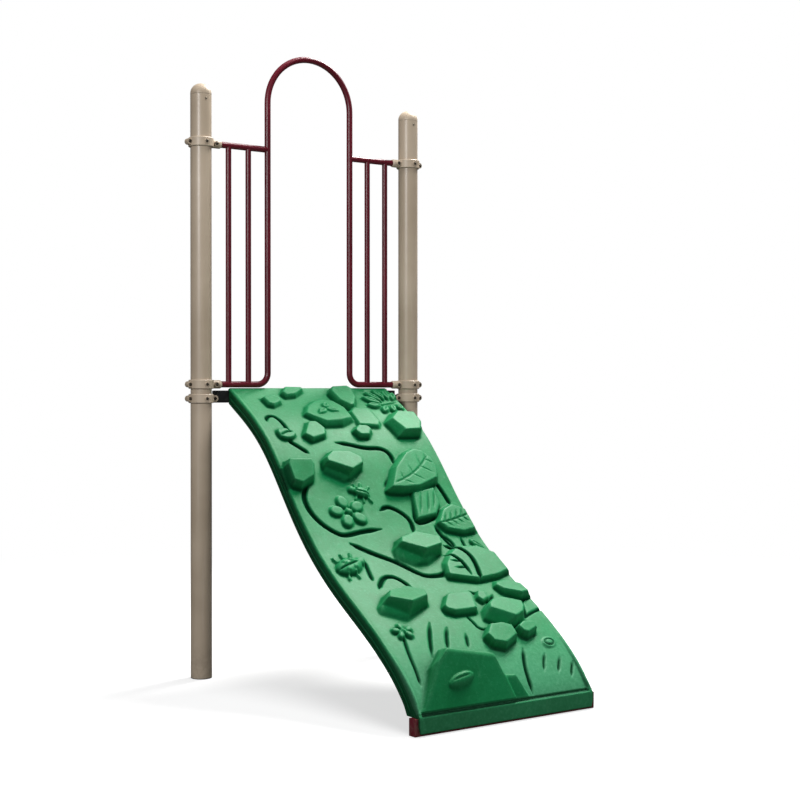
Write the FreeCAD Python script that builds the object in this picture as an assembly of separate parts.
import FreeCAD, Part
import math
import os

# Playground climbing wall bay: a hollow moulded ramp with rock holds, hung from a deck-edge beam
# between two posts, standing on a steel toe rail, with a tubular entry arch above it.
# Frame: millimetres, +Z up. Origin on the ground under the middle of the footprint. +X runs to
# the right for a climber facing the wall, -Y (front) points from the posts to the foot of the
# ramp. Everything is drawn from the line through both posts and moved by ORIGIN_Y at the end.

V = FreeCAD.Vector
ORIGIN = V(0, 0, 0)
RIGHT, REAR, UP = V(1, 0, 0), V(0, 1, 0), V(0, 0, 1)
FRONT, DOWN = V(0, -1, 0), V(0, 0, -1)
SIDES = ((-1, "left"), (1, "right"))
os.makedirs("parts", exist_ok=True)

# ---------------------------------------------------------------- driving dimensions
ORIGIN_Y = 670.3          # post line to the middle of the footprint
SEAT_GAP = 0.1            # air between seated hardware and its seat
OVERCUT = 2.0             # how far a bore runs past each end of its tube

POST_SPAN = 1067.0        # post centre to post centre
POST_X = POST_SPAN / 2
POST_R = 88.9 / 2
POST_WALL = 3.2
POST_TOP = 2452.0         # top of the tube
CAP_TOP = 2500.0
FOOT_T = 3.0              # flange of the foot plug
PLUG_R = POST_R - POST_WALL - 0.25    # cap and foot spigots inside the tube
RIVET_Z = POST_TOP - 20.0
RIVET_HOLE_R = 2.6

RAIL_L = 838.0            # toe rail
RAIL_H = 62.0
RAIL_D = 38.0
RAIL_WALL = 4.5
RAIL_END = 4.0            # plate across each end

PANEL_W = 813.0
PANEL_HALF = PANEL_W / 2
PANEL_T = 60.0            # outer skin to inner skin, square to the surface
WALL = 6.0                # moulded wall thickness
BACK_Y = -4.0             # back face of the top edge
TOE_Z = RAIL_H + 0.3      # underside of the toe
TOE_FRONT_Y = -1394.0
TOE_FLOOR = 9.0           # wall under the cavity at the toe
LIP_T = 6.5               # lip that hangs in front of the toe rail
LIP_Z = 8.0
RAIL_FRONT_Y = TOE_FRONT_Y + LIP_T + 0.5

BEAM_L = 904.0            # deck-edge beam
BEAM_D = 50.0
BEAM_H = 52.0
BEAM_WALL = 3.0
BEAM_FRONT_Y = -3.6
BEAM_REAR_Y = BEAM_FRONT_Y + BEAM_D
BEAM_Z = 1158.0           # underside
BEAM_BOLT_Z = 1178.0

PANEL_BOLT_PITCH = 220.0  # four bolts at the top and four at the toe
PANEL_BOLT_X = [(i - 1.5) * PANEL_BOLT_PITCH for i in range(4)]
ANCHOR_X = (-380.0, -180.0, 180.0, 380.0)
DECK_BOLT_X = (-220.0, 220.0)
TOE_BOLT_Y = -1362.0
PANEL_BOLT_HOLE_R = 5.5
INSERT_R = 9.0
INSERT_L = 24.0
WASHER_T = 2.0

TUBE_R = 13.35            # arch and rails
TUBE_WALL = 2.5
COPE_R = TUBE_R + 0.12    # notch cut where one tube meets another
BALUSTER_R = 12.2
BALUSTER_WALL = 2.0
BALUSTER_X = (307.0, 403.0)
ARCH_HALF = 211.5         # leg centre from the middle
ARCH_TOP = 2666.0         # centre line at the crown
BEND_R = 50.0
Z_LOW = 1236.0            # bottom rails
Z_HIGH = 2252.0           # top rails
RAIL_END_X = POST_X - 54.0    # rails stop short of the post centre

# clamps; x is measured from the post centre towards the rail or beam
Z_BEAM_CLAMP = 1176.0
CLAMP_RI = POST_R + 0.15
CLAMP_RO = 53.0
CLAMP_H = 38.0
CLAMP_CHAMFER = 2.5
BOLT_R = 4.0
BOLT_HOLE_R = 4.3
NUT_FLATS = 13.0
SOCKET_R = 18.0
SOCKET_X0, SOCKET_X1 = 40.0, 92.0
EAR_X0 = 44.0             # ears start inside the ring
OUTER_BOLT_X = 57.0       # on the side away from the rail or beam
RAIL_BOLT_X = 64.0        # through the rail
BEAM_BOLT_X = OUTER_BOLT_X + 3.0
RAIL_EAR_HALF = 13.0      # half thickness of the ears
BEAM_EAR_HALF = 13.2
RAIL_BOSS_HALF = 21.5     # half length of the bolt boss across the socket
SCREW_SEAT_Y = -56.0      # front of the set screw boss

# button-head bolts: shank radius and length, head radius and height, hex key size
TOE_BOLT = dict(shank_r=4.9, length=29.0, head_r=8.8, head_h=5.0, key=6.0)
TOP_BOLT = dict(shank_r=4.9, length=74.0, head_r=9.0, head_h=5.4, key=6.0)
CLAMP_BOLT = dict(shank_r=BOLT_R, head_r=7.6, head_h=4.4, key=5.0)
SET_SCREW = dict(shank_r=3.0, length=11.2, head_r=6.6, head_h=3.6, key=4.0)

# outer skin down the middle: (arc length from the top edge, y, z)
SECTION = [
    (0, -6.0, 1220.1), (70, -63.9, 1186.3), (150, -133.9, 1147.1), (250, -220.4, 1093.6),
    (350, -300.7, 1032.8), (450, -372.9, 964.4), (550, -439.0, 890.4), (650, -503.0, 813.9),
    (750, -568.2, 738.0), (850, -637.0, 665.0), (950, -710.4, 596.8), (1050, -788.3, 534.5),
    (1150, -870.1, 478.0), (1250, -954.5, 425.8), (1350, -1040.1, 374.8),
    (1450, -1125.1, 321.4), (1550, -1207.1, 263.0), (1650, -1283.2, 197.4),
    (1720, -1331.0, 146.0), (1780, -1366.7, 97.7), (1815, -1383.9, 67.5)]

# Rock holds, in skin coordinates u (x) and s (arc length down the ramp).
# name: (outline of (u, s) points,
#        how far the side walls lean in over the height: one value, or one per outline edge,
#        top planes of (height, slope across, slope down the ramp); the first sets the height)
ROCKS = {
    "crest_stone": (
        [(-190, 62), (-178, 102), (-118, 92), (-56, 46), (-52, 16), (-150, 12)],
        12, [(22, 0, 0)]),
    "left_pebble": (
        [(-306, 100), (-300, 165), (-270, 180), (-216, 150), (-206, 110), (-240, 76)],
        12, [(20, 0, 0)]),
    "crest_slab": (
        [(52, 62), (55, 150), (90, 205), (122, 205), (166, 140), (190, 60), (170, 22), (80, 26)],
        13, [(32, 0.04, -0.02)]),
    "broad_stone": (
        [(-165, 235), (-120, 170), (-60, 128), (40, 128), (78, 190), (72, 285), (0, 318),
         (-92, 322)],
        16, [(22, 0.03, 0.05), (26, -0.10, 0.06)]),
    "middle_facet": (
        [(75, 215), (112, 182), (200, 190), (206, 300), (180, 332), (72, 322)],
        12, [(13, -0.02, 0)]),
    "shoulder_block": (
        [(212, 300), (240, 396), (360, 396), (398, 335), (398, 245), (290, 232)],
        [38, 12, 12, 12, 16, 26], [(38, 0.02, 0.05)]),
    "upper_left_stone": (
        [(-236, 372), (-200, 413), (-120, 388), (-102, 340), (-130, 284), (-176, 288)],
        10, [(21, 0, 0.04)]),
    "upper_pebble": (
        [(22, 352), (40, 397), (96, 397), (128, 355), (110, 322), (60, 318)],
        10, [(24, 0, 0)]),
    "left_boulder": (
        [(-398, 545), (-392, 640), (-350, 656), (-276, 622), (-252, 562), (-262, 512),
         (-376, 508)],
        [10, 22, 20, 16, 12, 16, 10], [(42, 0, -0.12)]),
    "pentagon_stone": (
        [(-213, 556), (-113, 614), (-20, 566), (-6, 522), (-60, 478), (-150, 470), (-204, 514)],
        [23, 11, 12, 14, 14, 12, 14], [(42, 0, 0.14)]),
    "pentagon_foot": (
        [(-216, 577), (-134, 628), (-100, 618), (-18, 570), (-8, 522), (-60, 480), (-150, 472),
         (-208, 520)],
        [27, 14, 12, 10, 10, 10, 10, 14], [(17, 0, 0)]),
    "mushroom_cap": (
        [(40, 682), (118, 566), (205, 490), (262, 468), (312, 480), (350, 530), (352, 598),
         (330, 655), (212, 700), (120, 704), (54, 697)],
        [20, 20, 18, 18, 18, 18, 18, 18, 18, 18, 16], [(35, 0, 0.04)]),
    "mushroom_stem": (
        [(122, 846), (165, 695), (296, 672), (286, 770), (240, 826)],
        9, [(19, 0, 0)]),
    "side_leaf": (
        [(214, 862), (242, 912), (320, 938), (398, 926), (400, 800), (335, 762), (270, 790)],
        14, [(24, 0.03, 0)]),
    "tall_block": (
        [(-72, 999), (25, 1074), (148, 1036), (178, 962), (70, 908), (-34, 942)],
        [32, 20, 14, 14, 16, 18], [(48, 0, 0.20)]),
    "tall_foot": (
        [(-82, 1040), (-16, 1090), (50, 1090), (146, 1036), (176, 964), (70, 912), (-32, 944),
         (-74, 992)],
        [48, 30, 20, 10, 10, 10, 12, 20], [(22, 0, 0)]),
    "lower_right_ledge": (
        [(90, 1150), (91, 1180), (218, 1220), (330, 1206), (402, 1180), (402, 1040), (345, 992),
         (240, 984), (180, 1022), (118, 1085)],
        [9, 9, 9, 9, 9, 26, 30, 26, 22, 14], [(24, 0, 0.03)]),
    "wedge_stone": (
        [(-322, 1315), (-225, 1386), (-97, 1328), (-75, 1265), (-150, 1222), (-266, 1250)],
        [31, 17, 14, 14, 14, 22], [(48, -0.02, 0.22)]),
    "wedge_foot": (
        [(-332, 1345), (-234, 1400), (-190, 1378), (-94, 1333), (-76, 1267), (-150, 1224),
         (-268, 1252), (-325, 1312)],
        [34, 18, 14, 10, 10, 10, 12, 18], [(19, 0, 0)]),
    "cobble_a": (
        [(-52, 1350), (-48, 1380), (-14, 1402), (96, 1400), (134, 1298), (118, 1278), (8, 1280)],
        10, [(25, 0.01, 0.03)]),
    "cobble_chip": (
        [(136, 1316), (152, 1352), (200, 1332), (208, 1286), (162, 1272)],
        9, [(18, 0, 0)]),
    "cobble_b": (
        [(92, 1440), (112, 1394), (165, 1354), (230, 1350), (312, 1390), (300, 1438),
         (268, 1478), (215, 1502), (150, 1492)],
        [26, 16, 14, 14, 14, 16, 18, 16, 46], [(48, 0, 0.08)]),
    "cobble_c": (
        [(32, 1530), (42, 1580), (100, 1602), (180, 1562), (186, 1502), (142, 1478), (80, 1478)],
        10, [(35, 0.02, 0.02)]),
    "cobble_d": (
        [(196, 1508), (206, 1550), (232, 1562), (294, 1538), (298, 1492), (240, 1484)],
        9, [(34, 0, 0)]),
    "right_slab": (
        [(264, 1256), (280, 1302), (345, 1348), (400, 1342), (400, 1250), (342, 1216),
         (290, 1222)],
        [12, 12, 10, 10, 24, 26, 14], [(25, 0.02, 0.16)]),
    "toe_boulder": (
        [(-388, 1808), (-290, 1645), (-192, 1562), (-8, 1604), (38, 1808)],
        [11, 8, 46, 22, 180], [(74, -0.08, 0)]),
    "toe_step": (
        [(-10, 1702), (66, 1708), (108, 1806), (-10, 1806)],
        [10, 9, 80, 12], [(29, 0, 0)]),
}
HOLLOW_FROM = 20          # rocks at least this high are hollow

# kiss-offs: tapered pockets that tie the inner skin to the outer one, at (u, s)
KISS_OFFS = [(u, s) for s in (215, 470, 725, 980, 1235, 1480) for u in (-215.0, 215.0)]
# half size at the inner skin and near the outer skin: across the ramp, then down it
KISS_HALF_SIZES = (((1, 0), 62.0, 38.0), ((0, 1), 40.0, 17.0))

VENTS = [(0.0, 600.0), (0.0, 1350.0)]    # (u, s) of the holes in the inner skin


# ---------------------------------------------------------------- shape helpers
def polygon_face(points):
    return Part.Face(Part.makePolygon(points + [points[0]]))


def revolve(profile):
    """Solid of revolution about Z from (r, z) points."""
    return polygon_face([V(r, 0, z) for r, z in profile]).revolve(ORIGIN, UP, 360)


def place(shape, base, axis):
    """Copy of a shape drawn along +Z from the origin, stood at base along axis."""
    shape = shape.copy()
    shape.Placement = FreeCAD.Placement(base, FreeCAD.Rotation(UP, axis))
    return shape


def mirror_x(shape):
    return shape.mirror(ORIGIN, RIGHT)


def drill(body, radius, depth, start, axis):
    return body.cut(Part.makeCylinder(radius, depth, start, axis))


def tube(outer_r, inner_r, length, base=ORIGIN, axis=UP):
    bar = Part.makeCylinder(outer_r, length, base, axis)
    return drill(bar, inner_r, length + 2 * OVERCUT, base - axis * OVERCUT, axis)


def largest(shape):
    return max(shape.Solids, key=lambda solid: solid.Volume)


# ---------------------------------------------------------------- ramp section
class Spline:
    """Natural cubic spline through (t, v)."""

    def __init__(self, t, v):
        count = len(t)
        step = [t[i + 1] - t[i] for i in range(count - 1)]
        # tridiagonal system for the second derivatives, which are zero at both ends
        diagonal = [1.0] * count
        above = [0.0] * count
        rhs = [0.0] * count
        for i in range(1, count - 1):
            diagonal[i] = 2 * (step[i - 1] + step[i])
            above[i] = step[i]
            rhs[i] = 6 * ((v[i + 1] - v[i]) / step[i] - (v[i] - v[i - 1]) / step[i - 1])
        for i in range(1, count - 1):
            factor = step[i - 1] / diagonal[i - 1]
            diagonal[i] -= factor * above[i - 1]
            rhs[i] -= factor * rhs[i - 1]
        second = [0.0] * count
        for i in range(count - 2, -1, -1):
            second[i] = (rhs[i] - above[i] * second[i + 1]) / diagonal[i]
        self.t, self.v, self.second = t, v, second

    def at(self, x):
        """Value and slope at x."""
        t, v, m = self.t, self.v, self.second
        i = 0
        while i < len(t) - 2 and x > t[i + 1]:
            i += 1
        h = t[i + 1] - t[i]
        p, q = (t[i + 1] - x) / h, (x - t[i]) / h
        bulge = ((p ** 3 - p) * m[i] + (q ** 3 - q) * m[i + 1]) * h * h / 6
        turn = ((3 * q * q - 1) * m[i + 1] - (3 * p * p - 1) * m[i]) * h / 6
        return p * v[i] + q * v[i + 1] + bulge, (v[i + 1] - v[i]) / h + turn


ARC, SECTION_Y, SECTION_Z = zip(*SECTION)
SPLINE_Y = Spline(ARC, SECTION_Y)
SPLINE_Z = Spline(ARC, SECTION_Z)


def skin(s):
    """Point, tangent (down the ramp) and outward normal of the section, as (y, z) pairs."""
    y, dy = SPLINE_Y.at(s)
    z, dz = SPLINE_Z.at(s)
    length = math.hypot(dy, dz)
    ty, tz = dy / length, dz / length
    return (y, z), (ty, tz), (tz, -ty)


def offset(s, height):
    """(y, z) at a height out of the skin; negative is inside."""
    (y, z), _, (ny, nz) = skin(s)
    return (y + ny * height, z + nz * height)


def offset_run(s0, s1, steps, height):
    return [offset(s0 + (s1 - s0) * i / steps, height) for i in range(steps + 1)]


def solve_s(fn, target, low, high):
    """s where fn, monotonic on low..high, reaches target."""
    above_at_low = fn(low) > target
    for _ in range(60):
        middle = 0.5 * (low + high)
        if (fn(middle) > target) == above_at_low:
            low = middle
        else:
            high = middle
    return 0.5 * (low + high)


def lower_run(depth, back_y, bottom_z):
    """Line at a depth under the skin, from bottom_z at the toe up to back_y at the top."""
    s_top = solve_s(lambda s: offset(s, -depth)[0], back_y, 5, 110)
    s_toe = solve_s(lambda s: offset(s, -depth)[1], bottom_z, 1700, 1812)
    points = offset_run(s_toe, s_top, 30, -depth)
    points[0] = (points[0][0], bottom_z)
    points[-1] = (back_y, points[-1][1])
    return points


def section_solid(upper, toe, lower, back, half_width):
    """Closed (y, z) section, smooth above and below, straight at both ends, run across x."""
    def curve(points):
        spline = Part.BSplineCurve()
        spline.interpolate([V(-half_width, y, z) for y, z in points])
        return [spline.toShape()]

    def lines(points):
        return [Part.makeLine(V(-half_width, *a), V(-half_width, *b))
                for a, b in zip(points[:-1], points[1:])]

    edges = curve(upper) + lines(toe) + curve(lower) + lines(back)
    return Part.Face(Part.Wire(edges)).extrude(V(2 * half_width, 0, 0))


# ---------------------------------------------------------------- convex solids from planes
def clip(polygon, normal, distance):
    """Keep the part of a 3-D polygon where normal.p <= distance."""
    kept = []
    for i, a in enumerate(polygon):
        b = polygon[(i + 1) % len(polygon)]
        fa, fb = normal.dot(a) - distance, normal.dot(b) - distance
        if fa <= 1e-7:
            kept.append(a)
        if (fa < -1e-7 and fb > 1e-7) or (fa > 1e-7 and fb < -1e-7):
            kept.append(a + (b - a) * (fa / (fa - fb)))
    return kept


def convex(planes):
    """Solid bounded by planes (outward normal, distance)."""
    planes = [(V(n).normalize(), d / n.Length) for n, d in planes]
    size = 2000.0
    faces = []
    for i, (n, d) in enumerate(planes):
        centre = n * d
        u = n.cross(UP) if abs(n.z) < 0.9 else n.cross(RIGHT)
        u.normalize()
        w = n.cross(u)
        polygon = [centre + u * size + w * size, centre - u * size + w * size,
                   centre - u * size - w * size, centre + u * size - w * size]
        for j, (other_n, other_d) in enumerate(planes):
            if j != i and polygon:
                polygon = clip(polygon, other_n, other_d)
        clean = []
        for p in polygon:
            if not clean or (p - clean[-1]).Length > 1e-4:
                clean.append(p)
        while len(clean) > 1 and (clean[0] - clean[-1]).Length < 1e-4:
            clean.pop()
        if len(clean) >= 3:
            faces.append(polygon_face(clean))
    shell = Part.Shell(faces)
    shell.sewShape()
    solid = Part.Solid(Part.Shell(shell.Faces))
    if solid.Volume < 0:
        solid.reverse()
    return solid


def to_world(planes, u, s):
    """Planes given in the local frame (across, down the ramp, out of the skin) at (u, s)."""
    (y, z), (ty, tz), (ny, nz) = skin(s)
    world = []
    for n, d in planes:
        w = V(n.x, ty * n.y + ny * n.z, tz * n.y + nz * n.z)
        world.append((w, d + w.dot(V(u, y, z))))
    return world


# ---------------------------------------------------------------- moulded panel
def rock(name, inset, depth):
    """Faceted hold reaching depth below the skin; inset makes the smaller body that hollows it."""
    outline, lean, tops = ROCKS[name]
    height = tops[0][0]
    count = len(outline)
    uc = sum(p[0] for p in outline) / count
    sc = sum(p[1] for p in outline) / count
    points = [(p[0] - uc, p[1] - sc) for p in outline]
    leans = lean if isinstance(lean, list) else [lean] * count
    area = sum(points[i][0] * points[(i + 1) % count][1]
               - points[(i + 1) % count][0] * points[i][1] for i in range(count))
    if area < 0:
        points = points[::-1]
        leans = leans[::-1][1:] + leans[::-1][:1]
    planes = []
    for i in range(count):
        a, b = points[i], points[(i + 1) % count]
        du, ds = b[0] - a[0], b[1] - a[1]
        length = math.hypot(du, ds)
        nu, ns = ds / length, -du / length
        n = V(nu, ns, leans[i] / height)
        planes.append((n, nu * a[0] + ns * a[1] - inset * n.Length))
    for top_height, slope_u, slope_s in tops:
        n = V(-slope_u, -slope_s, 1.0)
        planes.append((n, top_height - inset * n.Length))
    planes.append((V(0, 0, -1), depth))
    side_limit = PANEL_HALF - 2.5 - inset
    planes.append((V(1, 0, 0), side_limit - uc))
    planes.append((V(-1, 0, 0), side_limit + uc))
    world = to_world(planes, uc, sc)
    if name.startswith("toe_"):
        # the stones at the foot stop above the toe groove and behind the lip
        world.append((V(0, 0, -1), -(TOE_Z + 14.5 + inset)))
        world.append((V(0, -1, 0), -TOE_FRONT_Y - 4.0 - inset))
    return convex(world)


def pocket(u, s, grow, n0, n1):
    """Tapered pocket square to the skin, between heights n0 < n1 (negative is inside)."""
    def half_size(n, big, small):
        return big + (small - big) * (n + PANEL_T) / (PANEL_T - WALL) + grow

    planes = []
    for axis, big, small in KISS_HALF_SIZES:
        half_0 = half_size(n0, big, small)
        slope = (half_0 - half_size(n1, big, small)) / (n1 - n0)
        for sign in (1, -1):
            n = V(axis[0] * sign, axis[1] * sign, slope)
            planes.append((n, half_0 + slope * n0))
    planes.append((V(0, 0, 1), n1))
    planes.append((V(0, 0, -1), -n0))
    return convex(to_world(planes, u, s))


def panel_outer():
    """Full section of the panel, with the lip hanging at the toe."""
    s_end = solve_s(lambda s: skin(s)[0][1], 79.0, 1700, 1812)
    upper = offset_run(0, s_end, 34, 0)
    lower = lower_run(PANEL_T, BACK_Y, TOE_Z)
    toe = [upper[-1], (upper[-1][0] + 1.5, 75.5), (-1373.0, 73.5), (-1373.0, 70.5),
           (TOE_FRONT_Y + 3, 68.0), (TOE_FRONT_Y, 64.5), (TOE_FRONT_Y - 0.6, 11.0),
           (TOE_FRONT_Y + 1.6, LIP_Z), (TOE_FRONT_Y + LIP_T, LIP_Z),
           (TOE_FRONT_Y + LIP_T, TOE_Z), lower[0]]
    back = [lower[-1], (BACK_Y, 1213.0), (BACK_Y - 1.5, 1218.0), upper[0]]
    return section_solid(upper, toe, lower, back, PANEL_HALF)


def panel_cavity():
    floor_z = TOE_Z + TOE_FLOOR
    upper = offset_run(22, 1768, 34, -WALL)
    lower = lower_run(PANEL_T - WALL, BACK_Y - WALL, floor_z)
    toe_y = upper[-1][0] - 4.0
    toe = [upper[-1], (toe_y, floor_z + 6.0), (toe_y, floor_z), lower[0]]
    back = [lower[-1], (BACK_Y - WALL, upper[0][1] - 8.0), upper[0]]
    return section_solid(upper, toe, lower, back, PANEL_HALF - WALL)


def add_boss(body, outer, radius, length, base, axis):
    """Solid boss with a blind hole for an insert."""
    body = body.fuse(Part.makeCylinder(radius, length, base, axis).common(outer))
    return drill(body, INSERT_R + 0.05, INSERT_L + 2.0, base - axis, axis)


def climbing_panel():
    outer = panel_outer()
    body = outer
    for name in ROCKS:
        body = body.fuse(rock(name, inset=0.0, depth=16.0))
    body = body.common(Part.makeBox(PANEL_W, 3000, 3000, V(-PANEL_HALF, BACK_Y - 3000, LIP_Z)))
    body = body.cut(panel_cavity())
    for name, (_, _, tops) in ROCKS.items():
        if tops[0][0] >= HOLLOW_FROM:
            body = body.cut(rock(name, inset=WALL + 0.5, depth=18.0))
    for u, s in KISS_OFFS:
        body = body.fuse(pocket(u, s, WALL, -PANEL_T, -WALL + 1.0).common(outer))
    for u, s in KISS_OFFS:
        body = body.cut(pocket(u, s, 0.0, -PANEL_T - 14.0, -WALL - 4.0))
    for x in PANEL_BOLT_X:
        body = add_boss(body, outer, 15.0, 36.0, V(x, BACK_Y, BEAM_BOLT_Z), FRONT)
    for x in PANEL_BOLT_X:
        body = add_boss(body, outer, 14.0, 34.0, V(x, TOE_BOLT_Y, TOE_Z), UP)
    for u, s in VENTS:
        start = V(u, *offset(s, -(PANEL_T + 2)))
        body = drill(body, 9.1, 12.0, start, V(0, *skin(s)[2]))
    return largest(body)


def vent_plugs():
    """Snap discs in the inner skin."""
    disc = revolve([(0, 0), (12.5, 0), (13.5, 1.0), (13.5, 2.6), (8.9, 3.0), (8.9, 8.6),
                    (7.6, 9.8), (0, 9.8)])
    return Part.makeCompound([
        place(disc, V(u, *offset(s, -(PANEL_T + 3.2))), V(0, *skin(s)[2])) for u, s in VENTS])


# ---------------------------------------------------------------- small hardware
def hex_prism(across_flats, z, height):
    r = across_flats / math.sqrt(3.0)
    angles = [math.radians(60 * i) for i in range(6)]
    corners = [V(r * math.cos(a), r * math.sin(a), z) for a in angles]
    return polygon_face(corners).extrude(V(0, 0, height))


def button_bolt(base, axis, shank_r, length, head_r, head_h, key):
    """Button-head bolt: the head starts at base and stands out against axis, the shank runs
    along axis."""
    bolt = revolve([
        (0, length), (shank_r - 0.6, length), (shank_r, length - 0.6), (shank_r, 0), (head_r, 0),
        (head_r, -head_h * 0.22), (head_r * 0.86, -head_h * 0.66),
        (head_r * 0.6, -head_h * 0.94), (head_r * 0.42, -head_h), (0, -head_h)])
    bolt = bolt.cut(hex_prism(key, -head_h - 0.1, head_h * 0.62))
    return place(bolt, base, axis)


def cap_nut(base, axis):
    """Domed nut; its seat is at base, it stands out along axis."""
    flats = NUT_FLATS
    chamfered = revolve([(0, 0), (flats * 0.56, 0), (flats * 0.577, 0.8), (flats * 0.577, 5.2),
                         (flats * 0.5, 6.0), (0, 6.0)])
    dome = revolve([(0, 5.9), (flats * 0.46, 5.9), (flats * 0.44, 8.2), (flats * 0.34, 10.4),
                    (flats * 0.18, 11.6), (0, 12.0)])
    nut = hex_prism(flats, 0, 6.0).common(chamfered).fuse(dome)
    return place(drill(nut, BOLT_R + 0.05, 9.0, V(0, 0, -0.5), UP), base, axis)


def panel_bolt_row(y, z, seat_axis, washer_r, bolt):
    """Washers and bolts on the seat at (y, z); seat_axis points out of the seat."""
    washer = tube(washer_r, 5.4, WASHER_T)
    washers, bolts = [], []
    for x in PANEL_BOLT_X:
        seat = V(x, y, z)
        washers.append(place(washer, seat + seat_axis * SEAT_GAP, seat_axis))
        head = seat + seat_axis * (WASHER_T + 2 * SEAT_GAP)
        bolts.append(button_bolt(head, V(0, -seat_axis.y, -seat_axis.z), **bolt))
    return Part.makeCompound(washers), Part.makeCompound(bolts)


def insert_row(y, z, axis):
    insert = tube(INSERT_R, 5.0, INSERT_L)
    return Part.makeCompound([
        place(insert, V(x, y, z) + axis * SEAT_GAP, axis) for x in PANEL_BOLT_X])


# ---------------------------------------------------------------- toe rail and deck-edge beam
def base_rail():
    """Channel, web to the front, open to the back, closed by a plate at each end."""
    rail = Part.makeBox(RAIL_L, RAIL_D, RAIL_H, V(-RAIL_L / 2, RAIL_FRONT_Y, 0))
    rail = rail.cut(Part.makeBox(
        RAIL_L - 2 * RAIL_END, RAIL_D, RAIL_H - 2 * RAIL_WALL,
        V(-RAIL_L / 2 + RAIL_END, RAIL_FRONT_Y + RAIL_WALL, RAIL_WALL)))
    front_edges = [e for e in rail.Edges
                   if e.Length > RAIL_L - 1 and abs(e.BoundBox.YMin - RAIL_FRONT_Y) < 0.01]
    rail = rail.makeFillet(2.2, front_edges)
    for x in PANEL_BOLT_X:
        rail = drill(rail, PANEL_BOLT_HOLE_R, 20, V(x, TOE_BOLT_Y, RAIL_H - 12), UP)
    for x in ANCHOR_X:
        rail = drill(rail, 6.5, 20, V(x, TOE_BOLT_Y, -8), UP)
    return rail


def rounded_bar(length, inset, radius):
    """Beam section shrunk by inset, its long edges rounded."""
    bar = Part.makeBox(length, BEAM_D - 2 * inset, BEAM_H - 2 * inset,
                       V(-length / 2, BEAM_FRONT_Y + inset, BEAM_Z + inset))
    return bar.makeFillet(radius, [e for e in bar.Edges if e.Length > BEAM_L - 1])


def deck_edge_beam():
    beam = rounded_bar(BEAM_L, 0.0, 5.0).cut(rounded_bar(BEAM_L + 2, BEAM_WALL, 2.5))
    for x in PANEL_BOLT_X:
        beam = drill(beam, PANEL_BOLT_HOLE_R, 80, V(x, -20, BEAM_BOLT_Z), REAR)
    for x in DECK_BOLT_X:
        start = V(x, BEAM_REAR_Y - 10, BEAM_Z + BEAM_H / 2)
        beam = drill(beam, PANEL_BOLT_HOLE_R, 20, start, REAR)
    return beam


def beam_end_fittings():
    """End plates, each with a tongue on the post line that runs into the beam clamp."""
    plate_x = BEAM_L / 2 + SEAT_GAP
    plate_t = 5.5
    tongue_t, tongue_h = 8.0, 30.0
    tongue_y, tongue_z = -tongue_t / 2, Z_BEAM_CLAMP - tongue_h / 2
    plate = Part.makeBox(plate_t, BEAM_D - 1, BEAM_H - 1,
                         V(plate_x, BEAM_FRONT_Y + 0.5, BEAM_Z + 0.5))
    root = Part.makeBox(plate_t, tongue_t, tongue_h, V(plate_x, tongue_y, tongue_z))
    tongue = Part.makeBox(POST_X - 46.5 - plate_x - 1, tongue_t, tongue_h,
                          V(plate_x + 1, tongue_y, tongue_z))
    fitting = plate.fuse(root).fuse(tongue).removeSplitter()
    fitting = drill(fitting, BOLT_HOLE_R, 40, V(POST_X - BEAM_BOLT_X, -20, Z_BEAM_CLAMP), REAR)
    return Part.makeCompound([mirror_x(fitting), fitting])


# ---------------------------------------------------------------- posts
def post(side):
    z = FOOT_T + 0.2
    shape = tube(POST_R, POST_R - POST_WALL, POST_TOP - z, V(side * POST_X, 0, z))
    for sign in (-1, 1):
        start = V(side * POST_X, sign * 36.0, RIVET_Z)
        shape = drill(shape, RIVET_HOLE_R, 20, start, V(0, sign, 0))
    return shape


def dome_points(radius, z, rise):
    """(r, z) points of a quarter ellipse, from just above its foot to the axis."""
    angles = [math.radians(90.0 * i / 12) for i in range(1, 12)]
    points = [(radius * math.cos(a), z + rise * math.sin(a)) for a in angles]
    return points + [(0.0, z + rise)]


def post_cap(side):
    """Hollow domed cap with a spigot inside the tube."""
    rim_z = POST_TOP + 0.8
    spigot_z = POST_TOP - 38.0
    bore_r = PLUG_R - 3.0
    rise = CAP_TOP - rim_z - 6.0
    profile = [(bore_r, spigot_z), (PLUG_R, spigot_z), (PLUG_R, rim_z - 0.6),
               (POST_R - 1.0, rim_z), (POST_R, rim_z + 1.0), (POST_R, rim_z + 6.0)]
    profile += dome_points(POST_R, rim_z + 6.0, rise)
    profile += dome_points(bore_r, rim_z + 3.0, rise - 1.5)[::-1]
    cap = revolve(profile + [(bore_r, rim_z + 3.0)])
    for sign in (-1, 1):
        cap = drill(cap, RIVET_HOLE_R, 20, V(0, sign * 34.0, RIVET_Z), V(0, sign, 0))
    cap.translate(V(side * POST_X, 0, 0))
    return cap


def cap_rivets():
    rivet = revolve([(0, -7.5), (2.5, -7.5), (2.5, 0.05), (5.2, 0.05), (5.0, 0.9), (3.6, 1.7),
                     (0, 2.1)])
    return Part.makeCompound([
        place(rivet, V(side * POST_X, sign * (POST_R + 0.25), RIVET_Z), V(0, sign, 0))
        for side in (-1, 1) for sign in (-1, 1)])


def post_foot_plugs():
    bore_r = PLUG_R - 4.5
    plugs = []
    for side in (-1, 1):
        plug = revolve([
            (0, 0), (POST_R - 1.0, 0), (POST_R, 1.0), (POST_R, FOOT_T), (PLUG_R, FOOT_T),
            (PLUG_R, 33.0), (PLUG_R - 1.5, 35.0), (bore_r, 35.0), (bore_r, FOOT_T + 3),
            (0, FOOT_T + 3)])
        plug.translate(V(side * POST_X, 0, 0))
        plugs.append(plug)
    return Part.makeCompound(plugs)


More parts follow.
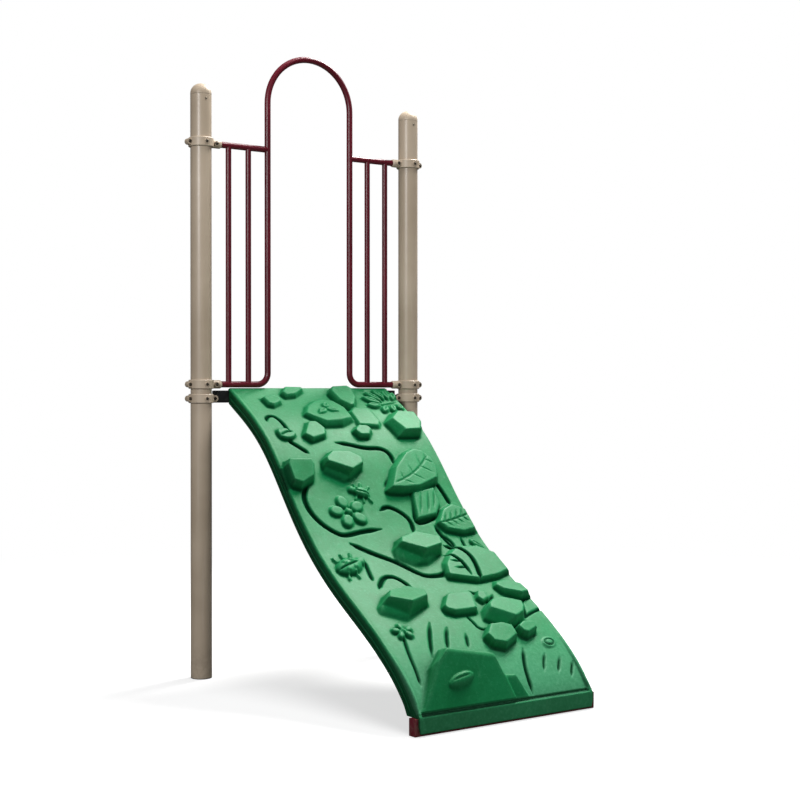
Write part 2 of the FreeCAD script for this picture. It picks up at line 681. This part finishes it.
# ---------------------------------------------------------------- entry arch and rails
def bend(radius, centre, start, tangent, axis, angle):
    disc = Part.Face(Part.Wire(Part.makeCircle(radius, start, tangent)))
    return disc.revolve(centre, axis, angle)


def arch_bar(radius, extension):
    """Solid bar along the bent centre line, left to right; extension lengthens both ends."""
    spring_z = ARCH_TOP - ARCH_HALF
    bend_x = ARCH_HALF + BEND_R
    bend_z = Z_LOW + BEND_R
    run = RAIL_END_X - bend_x + extension
    leg = spring_z - bend_z
    bar = Part.makeCylinder(radius, run, V(-RAIL_END_X - extension, 0, Z_LOW), RIGHT)
    for piece in (
            bend(radius, V(-bend_x, 0, bend_z), V(-bend_x, 0, Z_LOW), RIGHT, FRONT, 90),
            Part.makeCylinder(radius, leg, V(-ARCH_HALF, 0, bend_z), UP),
            bend(radius, V(0, 0, spring_z), V(-ARCH_HALF, 0, spring_z), UP, REAR, 180),
            Part.makeCylinder(radius, leg, V(ARCH_HALF, 0, bend_z), UP),
            bend(radius, V(bend_x, 0, bend_z), V(ARCH_HALF, 0, bend_z), DOWN, FRONT, 90),
            Part.makeCylinder(radius, run, V(bend_x, 0, Z_LOW), RIGHT)):
        bar = bar.fuse(piece)
    return bar


def drill_rail_end(shape, side, z):
    return drill(shape, BOLT_HOLE_R, 60, V(side * (POST_X - RAIL_BOLT_X), -30, z), REAR)


def arch_tube():
    arch = arch_bar(TUBE_R, 0.0).cut(arch_bar(TUBE_R - TUBE_WALL, 5.0))
    for side in (-1, 1):
        arch = drill_rail_end(arch, side, Z_LOW)
    return arch.Solids[0]


def top_rail(side):
    """From the post to the arch leg, coped around the leg."""
    rail = tube(TUBE_R, TUBE_R - TUBE_WALL, RAIL_END_X - ARCH_HALF,
                V(side * RAIL_END_X, 0, Z_HIGH), V(-side, 0, 0))
    rail = drill(rail, COPE_R, 100, V(side * ARCH_HALF, 0, Z_HIGH - 50), UP)
    return largest(drill_rail_end(rail, side, Z_HIGH))


def balusters(side):
    """Uprights coped to the bottom and top rails."""
    shapes = []
    for distance in BALUSTER_X:
        x = side * distance
        baluster = tube(BALUSTER_R, BALUSTER_R - BALUSTER_WALL, Z_HIGH - Z_LOW, V(x, 0, Z_LOW))
        for z in (Z_LOW, Z_HIGH):
            baluster = drill(baluster, COPE_R, 200, V(x - 100, 0, z), RIGHT)
        shapes.append(largest(baluster))
    return Part.makeCompound(shapes)


# ---------------------------------------------------------------- clamps and their bolts
def ear(bolt_x, half_t, radius):
    """Flat lug with a round end, on the +x side of the collar."""
    flat = Part.makeBox(bolt_x - EAR_X0, 2 * half_t, 2 * radius, V(EAR_X0, -half_t, -radius))
    return flat.fuse(Part.makeCylinder(radius, 2 * half_t, V(bolt_x, -half_t, 0), REAR))


def clamp(gap, ear_half, grips, bolt_x, holds_tube):
    """Front and back halves around a post on the Z axis; the rail or beam is on the +x side."""
    half_h = CLAMP_H / 2
    chamfer = CLAMP_CHAMFER
    body = revolve([(CLAMP_RI - 4, -half_h), (CLAMP_RO - chamfer, -half_h),
                    (CLAMP_RO, -half_h + chamfer), (CLAMP_RO, half_h - chamfer),
                    (CLAMP_RO - chamfer, half_h), (CLAMP_RI - 4, half_h)])
    body = body.fuse(mirror_x(ear(OUTER_BOLT_X, ear_half, 13.0)))
    for grip in grips:
        body = body.fuse(grip)
    body = body.fuse(Part.makeCylinder(9.5, 12.0, V(0, SCREW_SEAT_Y, 0), REAR))
    body = body.removeSplitter()
    body = drill(body, CLAMP_RI, 80, V(0, 0, -40), UP)
    if holds_tube:
        body = drill(body, TUBE_R + 0.15, 80, V(CLAMP_RI - 6, 0, 0), RIGHT)
    for x in (bolt_x, -OUTER_BOLT_X):
        body = drill(body, BOLT_HOLE_R, 80, V(x, -40, 0), REAR)
    body = drill(body, 3.2, 30, V(0, SCREW_SEAT_Y - 4, 0), REAR)
    front = body.common(Part.makeBox(400, 200, 200, V(-200, -200 - gap / 2, -100)))
    back = body.common(Part.makeBox(400, 200, 200, V(-200, gap / 2, -100)))
    return front, back


def rail_clamp():
    socket = revolve([(0, SOCKET_X0), (SOCKET_R, SOCKET_X0), (SOCKET_R, SOCKET_X1 - 5),
                      (SOCKET_R - 1.5, SOCKET_X1 - 2), (SOCKET_R - 3.5, SOCKET_X1),
                      (0, SOCKET_X1)])
    socket.rotate(ORIGIN, REAR, 90)
    boss = Part.makeCylinder(10.5, 2 * RAIL_BOSS_HALF, V(RAIL_BOLT_X, -RAIL_BOSS_HALF, 0), REAR)
    return clamp(3.0, RAIL_EAR_HALF, [socket, boss], RAIL_BOLT_X, holds_tube=True)


def beam_clamp():
    inner_ear = ear(BEAM_BOLT_X, BEAM_EAR_HALF, 14.0)
    return clamp(8.4, BEAM_EAR_HALF, [inner_ear], BEAM_BOLT_X, holds_tube=False)


def at_post(shape, side, z):
    shape = mirror_x(shape) if side > 0 else shape.copy()
    shape.translate(V(side * POST_X, 0, z))
    return shape


def clamp_fasteners(levels, stations):
    """Bolts and nuts at clamp heights; stations are (x in the clamp, half grip length)."""
    bolts, nuts = [], []
    for side in (-1, 1):
        for z in levels:
            for clamp_x, half_grip in stations:
                x = side * (POST_X - clamp_x)
                seat = half_grip + SEAT_GAP
                bolts.append(button_bolt(V(x, -seat, z), REAR, length=2 * half_grip + 7.5,
                                         **CLAMP_BOLT))
                nuts.append(cap_nut(V(x, seat, z), REAR))
    return Part.makeCompound(bolts), Part.makeCompound(nuts)


def clamp_set_screws():
    return Part.makeCompound([
        button_bolt(V(side * POST_X, SCREW_SEAT_Y - SEAT_GAP, z), REAR, **SET_SCREW)
        for side in (-1, 1) for z in (Z_HIGH, Z_LOW, Z_BEAM_CLAMP)])


# ---------------------------------------------------------------- assembly
parts = {
    "climbing_panel": climbing_panel(),
    "panel_vent_plugs": vent_plugs(),
    "base_rail": base_rail(),
    "panel_toe_inserts": insert_row(TOE_BOLT_Y, TOE_Z, UP),
    "deck_edge_beam": deck_edge_beam(),
    "panel_top_inserts": insert_row(BACK_Y, BEAM_BOLT_Z, FRONT),
    "beam_end_fittings": beam_end_fittings(),
    "cap_rivets": cap_rivets(),
    "post_foot_plugs": post_foot_plugs(),
    "arch_tube": arch_tube(),
    "clamp_set_screws": clamp_set_screws(),
}
# the toe bolts go up through the top flange of the rail, the top bolts forward through the beam
parts["base_rail_washers"], parts["base_rail_bolts"] = panel_bolt_row(
    TOE_BOLT_Y, RAIL_H - RAIL_WALL, DOWN, 10.4, TOE_BOLT)
parts["panel_top_washers"], parts["panel_top_bolts"] = panel_bolt_row(
    BEAM_REAR_Y, BEAM_BOLT_Z, REAR, 12.0, TOP_BOLT)
parts["rail_clamp_bolts"], parts["rail_clamp_nuts"] = clamp_fasteners(
    (Z_HIGH, Z_LOW), ((RAIL_BOLT_X, RAIL_BOSS_HALF), (-OUTER_BOLT_X, RAIL_EAR_HALF)))
parts["beam_clamp_bolts"], parts["beam_clamp_nuts"] = clamp_fasteners(
    (Z_BEAM_CLAMP,), ((BEAM_BOLT_X, BEAM_EAR_HALF), (-OUTER_BOLT_X, BEAM_EAR_HALF)))

rail_halves = rail_clamp()
beam_halves = beam_clamp()
for side, name in SIDES:
    parts[name + "_post"] = post(side)
    parts[name + "_post_cap"] = post_cap(side)
    parts[name + "_top_rail"] = top_rail(side)
    parts[name + "_balusters"] = balusters(side)
    for level, z, halves in (("top", Z_HIGH, rail_halves), ("bottom", Z_LOW, rail_halves),
                             ("beam", Z_BEAM_CLAMP, beam_halves)):
        for half_name, half in zip(("front", "back"), halves):
            parts["%s_%s_clamp_%s" % (name, level, half_name)] = at_post(half, side, z)

for name, shape in parts.items():
    shape = shape.copy()
    shape.translate(V(0, ORIGIN_Y, 0))
    shape.exportStep("parts/%s.step" % name)
